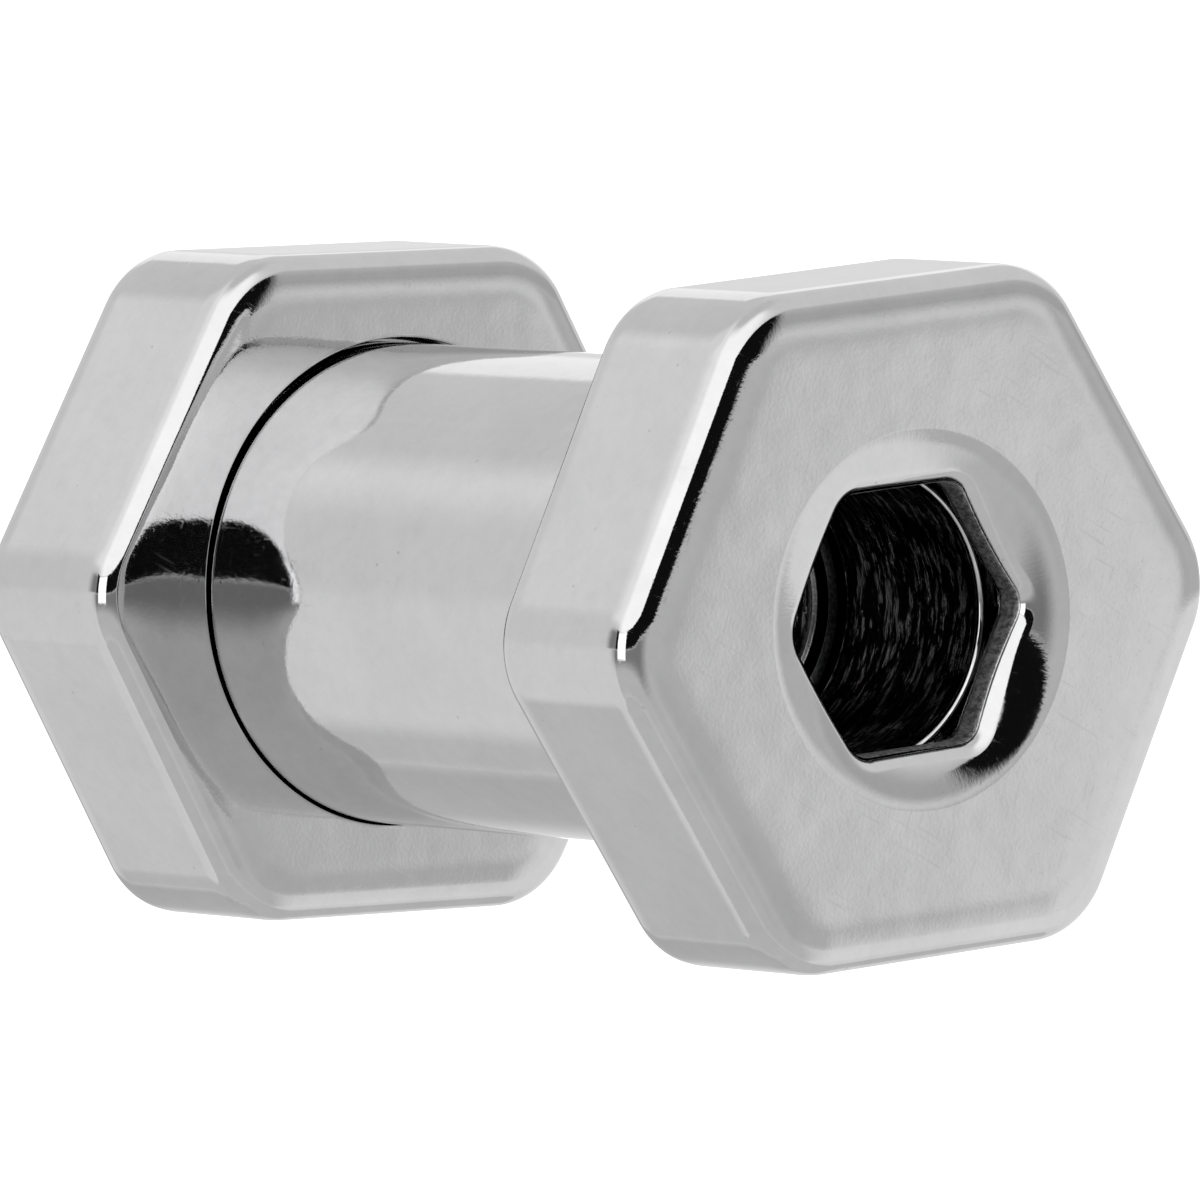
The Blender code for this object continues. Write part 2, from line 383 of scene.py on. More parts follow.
def threaded(skin, outline, start_x, end_x, root, sizes, faces_out, reverse):
    """A helical thread as a ring surface.

    Its root is inside on a stem, which faces out, and outside in a pocket.
    """
    base, out = outline
    angles = np.arctan2(out[:, 1], out[:, 0])
    low, high = min(start_x, end_x), max(start_x, end_x)
    sign = 1 if faces_out else -1
    pitch = sizes.thread_pitch

    def reach(x, angle):
        fade = smooth_step((x - low) / pitch) * smooth_step((high - x) / pitch)
        return root + sign * sizes.thread_depth * fade * thread_wave(x / pitch - angle / (2 * math.pi))

    steps = int(round((high - low) / (pitch / THREAD_STEPS)))
    nudge = 1e-4
    order = range(steps + 1)
    for step in reversed(order) if reverse else order:
        x = low + (high - low) * step / steps
        here = reach(x, angles)
        along = (reach(x + nudge * pitch, angles) - reach(x - nudge * pitch, angles)) / (2 * nudge * pitch)
        around = (reach(x, angles + nudge) - reach(x, angles - nudge)) / (2 * nudge)
        tangent = np.stack((-out[:, 1], out[:, 0]), 1)
        normal = sign * (out - (around / here)[:, None] * tangent)
        # The thread's colour is darkened by up to about a third with painted shade
        skin.ring(x, base + here[:, None] * out, -sign * along, normal, CUT_WITH_SOME_PAINTED_SHADE)


# ------------------------------------------------------------------------------ plate and its hole


def dish_slope(sizes, reach):
    """The funnel's slope against the face, which grows evenly from the rim inward."""
    return sizes.dish_rim + (sizes.dish_radius - reach) / sizes.dish_curve


def dish_depth(sizes, reach):
    """How far the funnel lies behind the face at this distance from the axis."""
    run = sizes.dish_radius - reach
    return run * np.tan((sizes.dish_rim + dish_slope(sizes, reach)) / 2)


def soft_edge(sizes, face_x, side, crown_end):
    """The edge between a plate's side and a face: lead-in, tight rounding, pillow and a faint crown.

    The rows run from the side to the face, where the crown ends at crown_end, with reach from the corner's
    middle. side is +1 for a face towards +X.
    """
    inward, rise = 0.0, 0.0
    profile = []
    radii = (sizes.edge_lead, sizes.edge_rounding, sizes.edge_pillow)
    for radius, start, end, steps in zip(radii, EDGE_TURNS, EDGE_TURNS[1:], EDGE_STEPS):
        start, end = math.radians(start), math.radians(end)
        for step in range(steps):
            turn = start + (end - start) * step / steps
            profile.append(
                (
                    inward + radius * (math.sin(start) - math.sin(turn)),
                    rise + radius * (math.cos(turn) - math.cos(start)),
                    turn,
                )
            )
        inward += radius * (math.sin(start) - math.sin(end))
        rise += radius * (math.cos(end) - math.cos(start))
    run = crown_end - inward
    steepest = math.tan(math.radians(EDGE_TURNS[-1]))
    for step in range(CROWN_STEPS + 1):
        left = 1 - step / CROWN_STEPS
        height = rise + steepest * run * (1 - left**4) / 4
        profile.append((crown_end - run * left, height, math.atan(steepest * left**3)))
    top = profile[-1][1]
    return [
        (face_x - side * (top - height), sizes.corner_radius - away, side * math.cos(turn), math.sin(turn))
        for away, height, turn in profile
    ]


def plate_and_hole(skin, sizes, roll, face_x, inner_x, hole_shift=0.0):
    """From the inner face over the plate's sides and outer face, down the dish and over the hole's lip.

    It returns the hole's outline and the x at which the hexagonal wall begins, for each column.
    """
    outer = hexagon(sizes.half_flats, sizes.corner_radius, roll)
    skin.sweep(outer, soft_edge(sizes, inner_x, -1, sizes.inner_crown_end)[::-1], POLISHED, ROUNDED)
    skin.sweep(outer, soft_edge(sizes, face_x, 1, sizes.crown_end), POLISHED, ROUNDED)

    round_outline = circle(roll)
    rim = sizes.dish_radius
    skin.sweep(round_outline, [(face_x, rim + FLAT_RIM, 1, 0), (face_x, rim + RIM_RUN, 1, 0)], POLISHED)
    funnel_top = rim - RIM_RUN
    slope = dish_slope(sizes, funnel_top)
    top_row = (face_x - dish_depth(sizes, funnel_top), funnel_top, math.cos(slope), -math.sin(slope))
    skin.sweep(round_outline, [top_row], DISHED)

    # The lip: a ball of the lip's radius rolls between the funnel and the hexagonal wall.
    base, out = hexagon(sizes.hex_half_flats, sizes.hex_corner, roll)
    base = base + (hole_shift, 0.0)
    wall = base + sizes.hex_corner * out
    lip = sizes.hex_lip
    centre = wall + lip * out
    centre_reach = np.linalg.norm(centre, axis=1)
    top_reach = centre_reach
    for _ in range(LIP_ROUNDS):
        top_reach = centre_reach - lip * np.sin(dish_slope(sizes, top_reach))
    slope = dish_slope(sizes, top_reach)
    centre_x = face_x - dish_depth(sizes, top_reach) - lip * np.cos(slope)
    dish_normal = np.concatenate(
        (np.cos(slope)[:, None], -np.sin(slope)[:, None] * centre / centre_reach[:, None]), 1
    )
    wall_normal = np.concatenate((np.zeros((COLUMNS, 1)), -out), 1)
    turn = np.arccos(np.clip(np.sum(dish_normal * wall_normal, 1), -1, 1))[:, None]
    top = centre + lip * dish_normal[:, 1:]
    top_angle = np.unwrap(np.arctan2(top[:, 1], top[:, 0]))
    even_angle = column_angles(roll)
    top_angle += 2 * math.pi * np.round((even_angle[0] - top_angle[0]) / (2 * math.pi))
    for step in range(1, DISH_STEPS):
        share = step / DISH_STEPS
        reach = funnel_top * (1 - share) + top_reach * share
        angle = even_angle * (1 - share) + top_angle * share
        away = np.stack((np.cos(angle), np.sin(angle)), 1)
        slope = dish_slope(sizes, reach)
        skin.ring(
            face_x - dish_depth(sizes, reach),
            away * reach[:, None],
            np.cos(slope),
            -np.sin(slope)[:, None] * away,
            DISHED,
        )
    for step in range(LIP_STEPS + 1):
        share = step / LIP_STEPS
        blend = np.sin((1 - share) * turn) * dish_normal + np.sin(share * turn) * wall_normal
        normal = blend / np.sin(turn)
        skin.ring(
            centre_x + lip * normal[:, 0],
            centre + lip * normal[:, 1:],
            normal[:, 0],
            normal[:, 1:],
            LIPPED if share < LIP_POLISHED else BROACHED,
        )
    return (base, out), centre_x


def hexagonal_wall(skin, outline, reach, start_x, end_x):
    """Rings down the broached wall, evened out from the wavy edge of the lip."""
    base, out = outline
    for share in WALL_SHARES:
        skin.ring(start_x + (end_x - start_x) * share, base + reach * out, 0, -out, BROACHED)


def build_head(sizes):
    """The head, from the barrel's free end over the plate and back through its bore and threaded pocket."""
    roll = sizes.head_roll
    skin = Skin(AXIS_HEIGHT, mirrored=False)
    round_outline = circle(roll)
    inner_x = sizes.wearable / 2
    face_x = HEAD_HIGH.x
    barrel_end = HEAD_LOW.x
    pocket = sizes.pocket_radius
    barrel = sizes.barrel_radius
    rows = soft_path(
        (barrel_end, (pocket + barrel) / 2, 0),
        (barrel_end, barrel, BARREL_END_BREAK),
        (inner_x, barrel, BARREL_ROOT_FILLET),
        (inner_x, barrel + ROOT_RUN, 0),
    )
    skin.sweep(round_outline, rows, POLISHED, ROUNDED)
    hole, lip_x = plate_and_hole(skin, sizes, roll, face_x, inner_x, sizes.hex_shift)

    land_end = face_x - sizes.land_end
    groove_end = face_x - sizes.groove_end
    bore_end = face_x - sizes.bore_end
    hexagonal_wall(skin, hole, sizes.hex_corner, lip_x, land_end + WALL_RUN)
    rows = soft_path(
        (land_end + WALL_RUN, sizes.hex_corner, 0),
        (land_end, sizes.hex_corner, FINE_BREAK, BRIGHT_BREAK),
        (land_end, sizes.hex_corner + LAND_RUN, 0),
    )
    skin.sweep(hole, rows[1:], BROACHED)
    thread_start = barrel_end + POCKET_THREAD_START
    thread_end = barrel_end + POCKET_THREAD_END
    # The relief groove and the bore, whose colour is painted nearly black as shade
    rows = soft_path(
        (land_end, sizes.groove_radius - LAND_RUN, 0),
        (land_end, sizes.groove_radius, FINER_BREAK),
        (groove_end, sizes.groove_radius, FINER_BREAK),
        (groove_end, sizes.bore_radius, BORE_BREAK, BRIGHT_BREAK),
        (groove_end - BORE_BREAK_RUN, sizes.bore_radius, 0),
    )
    skin.sweep(round_outline, rows, TURNED_WITH_PAINTED_SHADE)
    rows = soft_path(
        (groove_end - BORE_RUN, sizes.bore_radius, 0),
        (bore_end, sizes.bore_radius, FINE_BREAK),
        (bore_end, pocket, FINER_BREAK),
        (thread_end + SHORT_RUN, pocket, 0),
    )
    skin.sweep(round_outline, rows, TURNED_WITH_PAINTED_SHADE)
    root = pocket + sizes.thread_depth
    threaded(skin, round_outline, thread_start, thread_end, root, sizes, faces_out=False, reverse=True)
    rows = soft_path(
        (thread_start - SHORT_RUN, pocket, 0),
        (barrel_end + MOUTH_DEPTH, pocket, MOUTH_BREAK),
        (barrel_end, pocket + MOUTH_WIDTH, MOUTH_BREAK),
        (barrel_end, (pocket + barrel) / 2 - SHORT_RUN, 0),
    )
    skin.sweep(round_outline, rows, CUT_WITH_SOME_PAINTED_SHADE)
    return skin.mesh("head_barrel_steel")


def build_cap(sizes):
    """The cap, drawn with its outer face towards +X and mirrored into place."""
    skin = Skin(AXIS_HEIGHT, mirrored=True)
    round_outline = circle(0)
    inner_x = sizes.wearable / 2
    face_x = -CAP_LOW.x
    tip = -CAP_HIGH.x
    floor_x = inner_x + sizes.recess_depth
    stem = sizes.stem_radius - sizes.thread_depth * STEM_ROOT_SHARE
    bore = sizes.stem_bore
    thread_start = tip + STEM_THREAD_START
    thread_end = floor_x - STEM_THREAD_END
    rows = soft_path(
        (tip, (bore + stem) / 2, 0),
        (tip, stem - TIP_CHAMFER_WIDTH, FINEST_BREAK),
        (tip + TIP_CHAMFER_DEPTH, stem, FINER_BREAK),
        (thread_start - SHORT_RUN, stem, 0),
    )
    skin.sweep(round_outline, rows, FACED)
    threaded(skin, round_outline, thread_start, thread_end, stem, sizes, faces_out=True, reverse=False)
    rows = soft_path(
        (thread_end + SHORT_RUN, stem, 0),
        (floor_x, stem, STEM_ROOT_FILLET),
        (floor_x, stem + STEM_ROOT_RUN, 0),
    )
    skin.sweep(round_outline, rows, CUT_WITH_SOME_PAINTED_SHADE)
    # The recess's colour is darkened by up to about a third with painted shade
    recess = circle(0, sizes.recess_rise)
    rows = soft_path(
        (floor_x, sizes.recess_radius - RECESS_FLOOR_RUN, 0),
        (floor_x, sizes.recess_radius, FINE_BREAK),
        (inner_x, sizes.recess_radius, RECESS_BREAK, BRIGHT_BREAK),
        (inner_x, sizes.recess_radius + LAND_RUN, 0, POLISHED),
    )
    skin.sweep(recess, rows, CUT_WITH_SOME_PAINTED_SHADE)
    hole, lip_x = plate_and_hole(skin, sizes, 0.0, face_x, inner_x)
    land_end = face_x - sizes.land_end
    hexagonal_wall(skin, hole, sizes.hex_corner, lip_x, land_end + WALL_RUN)
    rows = soft_path(
        (land_end + WALL_RUN, sizes.hex_corner, 0),
        (land_end, sizes.hex_corner, FINER_BREAK),
        (land_end, sizes.hex_corner - CAP_LAND_RUN, 0),
    )
    skin.sweep(hole, rows[1:], BROACHED)
    # The stem's bore, whose colour is painted nearly black as shade
    rows = soft_path(
        (land_end, bore + CAP_LAND_RUN, 0),
        (land_end, bore, FINE_BREAK),
        (tip + SINK_START, bore, 0),
    )
    skin.sweep(round_outline, rows, TURNED_WITH_PAINTED_SHADE)
    rows = soft_path(
        (tip + SINK_LEAD, bore, 0),
        (tip + SINK_DEPTH, bore, FINEST_BREAK, COUNTERSUNK),
        (tip, bore + SINK_WIDTH, FINER_BREAK, COUNTERSUNK),
        (tip, (bore + stem) / 2 - LAND_RUN, 0, FACED),
    )
    skin.sweep(round_outline, rows, TURNED_WITH_PAINTED_SHADE)
    return skin.mesh("screw_cap_steel")


# --------------------------------------------------------------------------------------- materials


class NodeWork:
    """Adds nodes to a tree, and takes plain numbers and sockets alike."""

    def __init__(self, tree):
        self.tree = tree

    def feed(self, socket, value):
        if isinstance(value, bpy.types.NodeSocket):
            self.tree.links.new(value, socket)
        else:
            socket.default_value = value

    def node(self, kind, inputs, **settings):
        node = self.tree.nodes.new(kind)
        for name, value in settings.items():
            setattr(node, name, value)
        for name, value in inputs.items():
            self.feed(node.inputs[name], value)
        return node

    def math(self, operation, *values):
        return self.node("ShaderNodeMath", dict(enumerate(values)), operation=operation).outputs[0]

    def vector(self, operation, *values):
        return self.node("ShaderNodeVectorMath", dict(enumerate(values)), operation=operation).outputs[0]

    def scaled(self, place, scale):
        return self.node("ShaderNodeVectorMath", {0: place, "Scale": scale}, operation="SCALE").outputs[0]

    def times(self, *values):
        result = values[0]
        for value in values[1:]:
            result = self.math("MULTIPLY", result, value)
        return result

    def ramp(self, value, start, end, low=0.0, high=1.0):
        """A soft step of the value from low to high."""
        inputs = {"Value": value, "From Min": start, "From Max": end, "To Min": low, "To Max": high}
        return self.node("ShaderNodeMapRange", inputs, interpolation_type="SMOOTHSTEP").outputs[0]

    def mix(self, share, below, above):
        return self.node("ShaderNodeMix", {0: share, 2: below, 3: above}, data_type="FLOAT").outputs[0]

    def noise(self, place, scale, detail=2.0, roughness=0.5):
        inputs = {"Vector": place, "Scale": scale, "Detail": detail, "Roughness": roughness}
        return self.node("ShaderNodeTexNoise", inputs).outputs[0]

    def attribute(self, name):
        return self.node("ShaderNodeAttribute", {}, attribute_name=name).outputs["Fac"]

    def join(self, x, y, z):
        return self.node("ShaderNodeCombineXYZ", {"X": x, "Y": y, "Z": z}).outputs[0]

    def total(self, *values):
        result = values[0]
        for value in values[1:]:
            result = self.math("ADD", result, value)
        return result


# The marks in the steel, with their scales per millimetre
SCRATCH_RUNS = ((28, 0), (-71, 8), (12, 74))  # their turn about X and about Z, in degrees
SCRATCH_STRETCH = (9.0, 0.55, 9.0)
SCRATCH_OFFSET = Vector((13.7, 5.1, 0.0))  # keeps the runs from meeting
TURNING_AROUND = 4.5
TURNING_ALONG = 9.0
SPOKES_AROUND = 64.0
SPOKES_OUT = 3.0
TEAR_STRETCH = (9.0, 15.0, 15.0)

# Heights of their relief, in micrometres
WAVE_HEIGHT = 3.0
GRAIN_HEIGHT = 0.55
SCRATCH_HEIGHT = -0.08
PIT_HEIGHT = -1.2
SPOKE_HEIGHT = 0.4
TURNING_HEIGHT = 4.0
TEAR_HEIGHT = 9.0


def steel(name, colour, finish):
    """Polished steel with faint waves, grain and scratches.

    The bore has turning marks, with painted shade that darkens its colour nearly to black and painted
    highlights along the marks; the hexagonal wall is rough from the broach, and the edges are worn bright.
    """
    material = bpy.data.materials.new(name)
    material.use_nodes = True
    work = NodeWork(material.node_tree)
    shader = material.node_tree.nodes["Principled BSDF"]
    place = work.node("ShaderNodeTexCoord", {}).outputs["Object"]
    place = work.vector("SUBTRACT", place, (0.0, 0.0, AXIS_HEIGHT))
    place = work.scaled(place, 1 / MM)
    split = work.node("ShaderNodeSeparateXYZ", {0: place}).outputs
    squares = work.total(work.math("POWER", split[1], 2.0), work.math("POWER", split[2], 2.0))
    radius = work.math("SQRT", squares)
    around_y = work.math("DIVIDE", split[1], radius)
    around_z = work.math("DIVIDE", split[2], radius)
    turned_with_painted_shade, broached, edge, dished = (work.attribute(label) for label in FINISH_NAMES)

    clouds = work.noise(place, 0.55, 3.0, 0.6)
    waves = work.noise(place, 1.1, 1.0)
    grain = work.noise(place, 14.0, 2.5, 0.6)
    haze = work.noise(place, 3.6, 5.0, 0.7)
    smudge = work.ramp(work.noise(place, 2.6, 4.0, 0.65), 0.52, 0.78)
    scratches = 0.0
    for run, (tilt, swing) in enumerate(SCRATCH_RUNS):
        along = work.node(
            "ShaderNodeVectorRotate",
            {"Vector": place, "Rotation": (math.radians(tilt), 0.0, math.radians(swing))},
            rotation_type="EULER_XYZ",
        ).outputs[0]
        along = work.vector("MULTIPLY", along, SCRATCH_STRETCH)
        along = work.vector("ADD", along, run * SCRATCH_OFFSET)
        scratch = work.ramp(work.noise(along, 1.4, 1.0), 0.66, 0.76)
        scratches = scratch if run == 0 else work.math("MAXIMUM", scratches, scratch)
    pits = work.node("ShaderNodeTexVoronoi", {"Vector": place, "Scale": 1.9})
    pit_draw = work.node("ShaderNodeSeparateColor", {0: pits.outputs["Color"]}).outputs[0]
    pit_kept = work.ramp(pit_draw, 0.55, 0.6)
    pit = work.times(work.ramp(pits.outputs["Distance"], 0.035, 0.085, 1.0, 0.0), pit_kept)

    # Turning marks run round the axis, and the dish's polishing marks run out from it.
    rounds = work.join(
        work.times(around_y, TURNING_AROUND),
        work.times(around_z, TURNING_AROUND),
        work.times(work.math("ADD", split[0], radius), TURNING_ALONG),
    )
    tool_marks = work.noise(rounds, 1.0, 4.0, 0.7)
    spokes = work.join(
        work.times(around_y, SPOKES_AROUND),
        work.times(around_z, SPOKES_AROUND),
        work.times(radius, SPOKES_OUT),
    )
    spoke_marks = work.noise(spokes, 1.0, 2.0, 0.6)
    tear = work.noise(work.vector("MULTIPLY", place, TEAR_STRETCH), 1.0, 5.0, 0.75)

    # Colour, with painted shade and painted highlights where the steel was cut on the lathe
    shade = work.times(
        work.ramp(clouds, 0.3, 0.7, 0.955, 1.0),
        work.ramp(haze, 0.3, 0.75, 1.0, 0.955),
        work.mix(smudge, 1.0, 0.97),
        work.mix(pit, 1.0, 0.84),
        work.mix(scratches, 1.0, 0.985),
        work.mix(edge, 1.0, 1.03),
        # Painted shade: where the steel was cut on the lathe its colour falls nearly to black, with painted
        # highlights along the tool marks
        work.mix(turned_with_painted_shade, 1.0, work.ramp(tool_marks, 0.51, 0.6, 0.01, 1.45)),
        work.mix(broached, 1.0, work.ramp(tear, 0.36, 0.62, 0.3, 0.95)),
    )
    work.feed(shader.inputs["Base Color"], work.scaled((*colour,), shade))

    # Gloss
    rough = work.ramp(work.noise(place, 1.7, 3.0), 0.3, 0.7, finish.polish * 0.75, finish.polish * 1.3)
    rough = work.total(rough, work.times(scratches, 0.08), work.times(smudge, 0.03))
    rough = work.mix(turned_with_painted_shade, rough, work.ramp(tool_marks, 0.35, 0.7, finish.turned_with_painted_shade, finish.turned_with_painted_shade * 0.6))
    rough = work.mix(broached, rough, finish.broached)
    work.feed(shader.inputs["Roughness"], rough)
    shader.inputs["Metallic"].default_value = 1.0

    # Relief
    clean = work.math("SUBTRACT", 1.0, work.math("MAXIMUM", turned_with_painted_shade, broached))
    relief = work.total(
        work.times(waves, WAVE_HEIGHT),
        work.times(grain, clean, GRAIN_HEIGHT),
        work.times(scratches, SCRATCH_HEIGHT),
        work.times(pit, PIT_HEIGHT),
        work.times(spoke_marks, dished, SPOKE_HEIGHT),
        work.times(tool_marks, turned_with_painted_shade, TURNING_HEIGHT),
        work.times(tear, broached, TEAR_HEIGHT),
    )
    bump = work.node("ShaderNodeBump", {"Strength": 1.0, "Distance": 1e-6, "Height": relief})
    work.feed(shader.inputs["Normal"], bump.outputs[0])
    return material


def dressed(mesh, material, node, body):
    """The finished piece, standing for its solid and moving with its body."""
    if len(mesh.polygons) == 0:
        raise RuntimeError(f"{mesh.name} has no faces")
    mesh.materials.append(material)
    piece = bpy.data.objects.new(mesh.name, mesh)
    bpy.context.scene.collection.objects.link(piece)
    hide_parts(node)
    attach(piece, body)
    return piece


# --------------------------------------------------------------------------------------- operators


class EARTUNNEL_OT_head_barrel(bpy.types.Operator):
    """Builds the hexagonal head with its barrel"""

    bl_idname = "eartunnel.head_barrel"
    bl_label = "Head and Barrel"

    def execute(self, context):
        sizes = context.scene.tunnel_sizes
        finish = context.scene.steel_finish
        material = steel("polished_steel", finish.head_colour, finish)
        dressed(build_head(sizes), material, "head_barrel", "head")
        return {"FINISHED"}


class EARTUNNEL_OT_screw_cap(bpy.types.Operator):
    """Builds the hexagonal screw cap with its threaded stem"""

    bl_idname = "eartunnel.screw_cap"
    bl_label = "Screw Cap"

    def execute(self, context):
        sizes = context.scene.tunnel_sizes
        finish = context.scene.steel_finish
        material = steel("polished_steel_cap", finish.cap_colour, finish)
        dressed(build_cap(sizes), material, "screw_cap", "cap")
        return {"FINISHED"}


class EARTUNNEL_OT_studio(bpy.types.Operator):
    """Sets up the floor, the light and the camera"""

    bl_idname = "eartunnel.studio"
    bl_label = "Studio"

    def execute(self, context):
        studio = context.scene.studio_light
        add_floor(studio)
        add_tent(studio)
        add_light(studio)
        add_camera()
        return {"FINISHED"}


# ------------------------------------------------------------------------------------------ studio

# The camera stands by the photograph: a long lens, level with the tunnel
CAMERA_AZIMUTH = math.radians(51.17)
CAMERA_ELEVATION = math.radians(3.56)
CAMERA_TILT = math.radians(-0.39)
CAMERA_DISTANCE = 352.16 * MM
CAMERA_LENS = 643.06
CAMERA_SENSOR = 36
CAMERA_SHIFT_RIGHT = 0.1472 * MM
CAMERA_SHIFT_UP = -0.0572 * MM

FLOOR_SIDES = 96
TENT_SUBDIVISIONS = 5

# The light tent that the steel mirrors, as soft-edged cards laid over each other in turn. Each has its two
# azimuths, its two elevations, the softness of its sides, of its lower and of its upper edge, all in degrees,
# and its brightness.
TENT_CARDS = {
    "ceiling": (-181, 181, 66, 91, 1, 22, 1, 0.68),
    "back wall": (146, 181, 24, 80, 6, 3, 20, 0.73),
    "back wall's left": (-181, -157, 24, 80, 7, 3, 20, 0.73),
    "low wall at the back": (146, 181, -2, 26, 4, 4, 3, 0.74),
    "low wall on the left": (-181, -132, -2, 26, 8, 8, 10, 0.77),
    "bright back strip": (108, 160, 10, 29.5, 16, 7, 2.2, 1.06),
    "strip's foot": (108, 164, -6, 12, 16, 4, 7, 0.80),
    "soft box's glow": (-161, -128, 26, 64, 14, 14, 20, 0.92),
    "soft box's shoulder": (-141, 20, 22, 62, 14, 8, 22, 1.05),
    "soft box": (-103, 18, 17.5, 62, 38, 2.2, 22, 1.32),
    "grey screen on the right": (27, 82, 4.5, 19, 8, 6, 16, 0.50),
    "floor": (-181, 181, -91, 0, 1, 1, 8, 0.83),
    "floor under the tunnel": (-181, 181, -91, -44, 1, 14, 1, 0.62),
    "floor's back": (146, 181, -70, -8, 14, 18, 18, 0.55),
    "floor's back left": (-181, -163, -80, -33, 10, 10, 10, 0.64),
    "floor's far part": (20, 42, -6.5, 0, 6, 5, 3, 0.56),
    "floor's front": (-128, 36.5, -46, 1.6, 9, 30, 1.2, 0.61),
    "floor's middle": (30, 41.5, -14, -5, 5, 4, 3, 0.56),
    "floor's right": (39.0, 128, -6.4, -1.6, 3.6, 3, 3.5, 0.85),
    "floor's far right": (46.5, 104, -9, 5, 6, 4, 3, 0.57),
    "floor's lower right": (41.5, 128, -34, -5.5, 5.5, 12, 3, 0.90),
    "curtain's shade on the floor": (-128, 20, -12, 0.6, 14, 14, 1.6, 0.24),
    "glow behind": (128, 156, -9, 1, 10, 3, 3, 1.6),
    "black curtain": (-124, 34, 1.3, 17.4, 5, 1.0, 1.2, 0.006),
    "curtain's left end": (-136, -121, 1.3, 16, 10, 1.4, 5, 0.25),
    "slit in the curtain": (-106, -60, -8, 17, 4, 3, 3, 1.7),
}
OPEN_TENT = 0.78  # brightness where no card hangs


def stage_object(mesh):
    piece = bpy.data.objects.new(mesh.name, mesh)
    bpy.context.scene.collection.objects.link(piece)
    return piece


def add_floor(studio):
    """A plain white light table, which the steel doesn't mirror: the tent stands in for it there."""
    radius = studio.floor_radius
    turns = [2 * math.pi * side / FLOOR_SIDES for side in range(FLOOR_SIDES)]
    ring = [(radius * math.cos(turn), radius * math.sin(turn), 0.0) for turn in turns]
    mesh = bpy.data.meshes.new("floor")
    mesh.from_pydata(ring, [], [list(range(FLOOR_SIDES))])
    material = bpy.data.materials.new("pale floor")
    material.use_nodes = True
    shader = material.node_tree.nodes["Principled BSDF"]
    shader.inputs["Base Color"].default_value = (*studio.floor_colour, 1.0)
    shader.inputs["Roughness"].default_value = 0.9
    shader.inputs["Specular IOR Level"].default_value = 0.0
    shader.inputs["Emission Color"].default_value = (1.0, 1.0, 1.0, 1.0)
    shader.inputs["Emission Strength"].default_value = studio.floor_glow
    mesh.materials.append(material)
    stage_object(mesh).visible_glossy = False


def tent_material(studio):
    material = bpy.data.materials.new("light tent")
    material.use_nodes = True
    material.cycles.emission_sampling = "NONE"
    tree = material.node_tree
    tree.nodes.clear()
    work = NodeWork(tree)
    place = work.node("ShaderNodeNewGeometry", {}).outputs["Position"]
    split = work.node("ShaderNodeSeparateXYZ", {0: work.vector("NORMALIZE", place)}).outputs
    azimuth = work.math("DEGREES", work.math("ARCTAN2", split[1], split[0]))
    elevation = work.math("DEGREES", work.math("ARCSINE", split[2]))
    bright = OPEN_TENT
    for left, right, low, high, side, below, above, brightness in TENT_CARDS.values():
        cover = work.times(
            work.ramp(azimuth, left - side / 2, left + side / 2),
            work.ramp(azimuth, right - side / 2, right + side / 2, 1.0, 0.0),
            work.ramp(elevation, low - below / 2, low + below / 2),
            work.ramp(elevation, high - above / 2, high + above / 2, 1.0, 0.0),
        )
        bright = work.mix(cover, bright, brightness)
    light = work.node("ShaderNodeEmission", {"Strength": work.times(bright, studio.tent)})
    work.node("ShaderNodeOutputMaterial", {"Surface": light.outputs[0]})
    return material


def add_tent(studio):
    """A large ball of light round everything, seen only in the steel."""
    ball = bmesh.new()
    bmesh.ops.create_icosphere(ball, subdivisions=TENT_SUBDIVISIONS, radius=studio.tent_radius)
    mesh = bpy.data.meshes.new("light_tent")
    ball.to_mesh(mesh)
    ball.free()
    mesh.materials.append(tent_material(studio))
    tent = stage_object(mesh)
    tent.visible_camera = False
    tent.visible_diffuse = False
    tent.visible_transmission = False
    tent.visible_volume_scatter = False
    tent.visible_shadow = False


def add_light(studio):
    """Plain white light all round, for the floor alone."""
    world = bpy.data.worlds.new("studio")
    bpy.context.scene.world = world
    world.use_nodes = True
    background = world.node_tree.nodes["Background"]
    background.inputs["Color"].default_value = (1, 1, 1, 1)
    background.inputs["Strength"].default_value = studio.daylight
    world.cycles_visibility.glossy = False
    bpy.context.scene.view_settings.view_transform = "Standard"


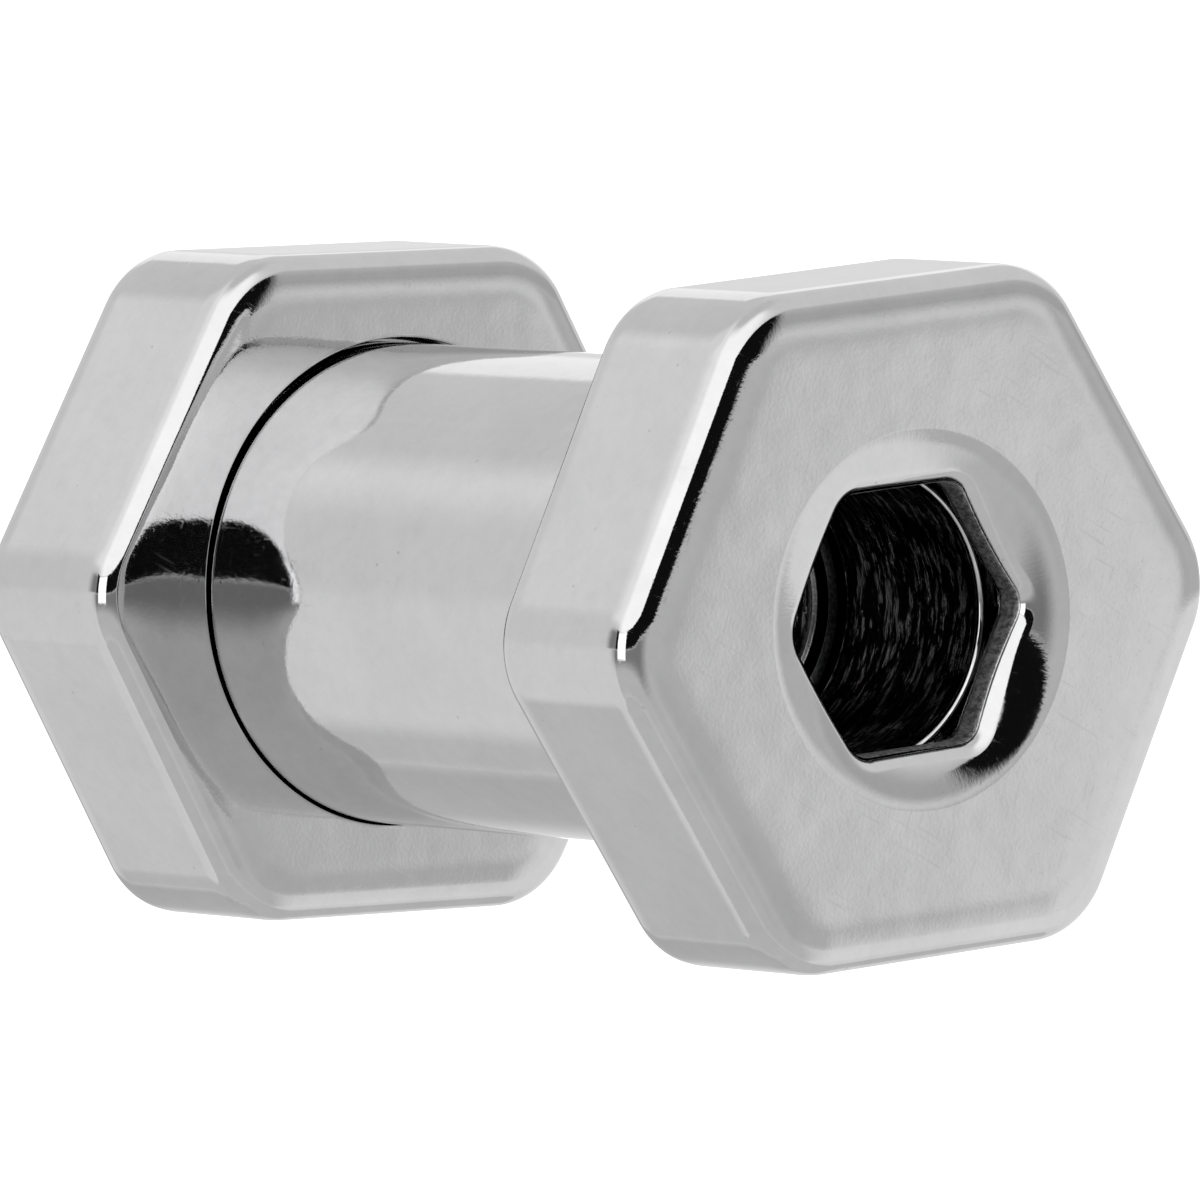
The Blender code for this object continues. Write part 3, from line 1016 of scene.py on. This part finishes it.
def add_camera():
    sine, cosine = math.sin(CAMERA_AZIMUTH), math.cos(CAMERA_AZIMUTH)
    back = Vector(
        (
            sine * math.cos(CAMERA_ELEVATION),
            -cosine * math.cos(CAMERA_ELEVATION),
            math.sin(CAMERA_ELEVATION),
        )
    )
    level = (-back).cross(Vector((0, 0, 1))).normalized()
    upright = level.cross(-back)
    right = math.cos(CAMERA_TILT) * level + math.sin(CAMERA_TILT) * upright
    up = -math.sin(CAMERA_TILT) * level + math.cos(CAMERA_TILT) * upright
    place = Vector((0, 0, AXIS_HEIGHT)) + CAMERA_DISTANCE * back
    place = place + CAMERA_SHIFT_RIGHT * right + CAMERA_SHIFT_UP * up
    data = bpy.data.cameras.new("camera")
    data.lens = CAMERA_LENS
    data.sensor_width = CAMERA_SENSOR
    data.clip_start = 0.01
    data.clip_end = 10
    camera = bpy.data.objects.new("camera", data)
    camera.matrix_world = Matrix(
        (
            (right.x, up.x, back.x, place.x),
            (right.y, up.y, back.y, place.y),
            (right.z, up.z, back.z, place.z),
            (0, 0, 0, 1),
        )
    )
    bpy.context.scene.collection.objects.link(camera)
    bpy.context.scene.camera = camera


# ------------------------------------------------------------------------------------------- panel


class EARTUNNEL_PT_panel(bpy.types.Panel):
    """Lists the tunnel's pieces and its studio"""

    bl_idname = "EARTUNNEL_PT_panel"
    bl_label = "Ear Tunnel"
    bl_space_type = "VIEW_3D"
    bl_region_type = "UI"
    bl_category = "Ear Tunnel"

    def draw(self, context):
        for operator in OPERATORS:
            self.layout.operator(operator.bl_idname)
        for group in (context.scene.tunnel_sizes, context.scene.steel_finish, context.scene.studio_light):
            box = self.layout.box()
            for name in group.bl_rna.properties.keys():
                if name not in ("rna_type", "name"):
                    box.prop(group, name)


OPERATORS = (EARTUNNEL_OT_head_barrel, EARTUNNEL_OT_screw_cap, EARTUNNEL_OT_studio)
CLASSES = (TunnelSizes, SteelFinish, StudioLight, *OPERATORS, EARTUNNEL_PT_panel)


def register():
    for cls in CLASSES:
        bpy.utils.register_class(cls)
    bpy.types.Scene.tunnel_sizes = PointerProperty(type=TunnelSizes)
    bpy.types.Scene.steel_finish = PointerProperty(type=SteelFinish)
    bpy.types.Scene.studio_light = PointerProperty(type=StudioLight)


def unregister():
    del bpy.types.Scene.studio_light
    del bpy.types.Scene.steel_finish
    del bpy.types.Scene.tunnel_sizes
    for cls in reversed(CLASSES):
        bpy.utils.unregister_class(cls)


def main():
    register()
    bpy.ops.eartunnel.head_barrel()
    bpy.ops.eartunnel.screw_cap()
    bpy.ops.eartunnel.studio()


if __name__ == "__main__":
    main()
